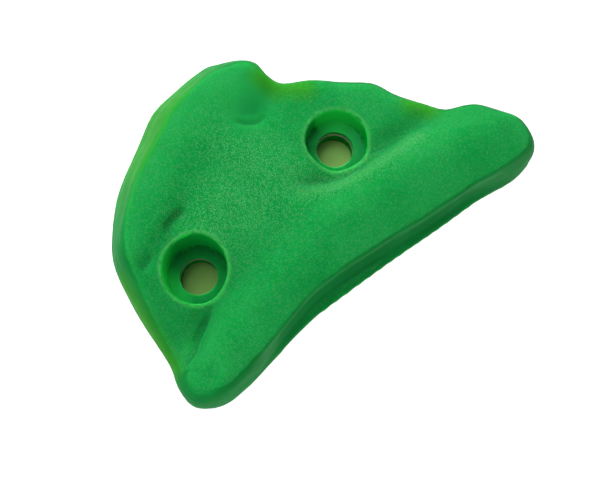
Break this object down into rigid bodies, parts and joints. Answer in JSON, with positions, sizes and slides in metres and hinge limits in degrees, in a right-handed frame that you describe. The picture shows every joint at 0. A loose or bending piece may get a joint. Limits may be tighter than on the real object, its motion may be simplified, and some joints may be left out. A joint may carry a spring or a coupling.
{
  "type": "climbing hold",
  "caption": "Bolt-on climbing hold with a flat back, a long finger lip and two recessed bolt holes with cast-in load washers.",
  "frame": {"origin": "midway between the two bolt holes, on the flat back that meets the wall", "axes": "+X along the line of the bolt holes towards the long tip, +Y away from the finger lip, +Z outwards from the wall"},
  "size_m": [0.1284, 0.0922, 0.028],
  "materials": {
    "cast_resin": "sanded translucent green resin with fine pale grit",
    "washer_steel": "dull zinc-plated steel"
  },
  "bodies": {
    "root": {"hold_body": "cast_resin", "washer_left": "washer_steel", "washer_right": "washer_steel"}
  },
  "joints": []
}
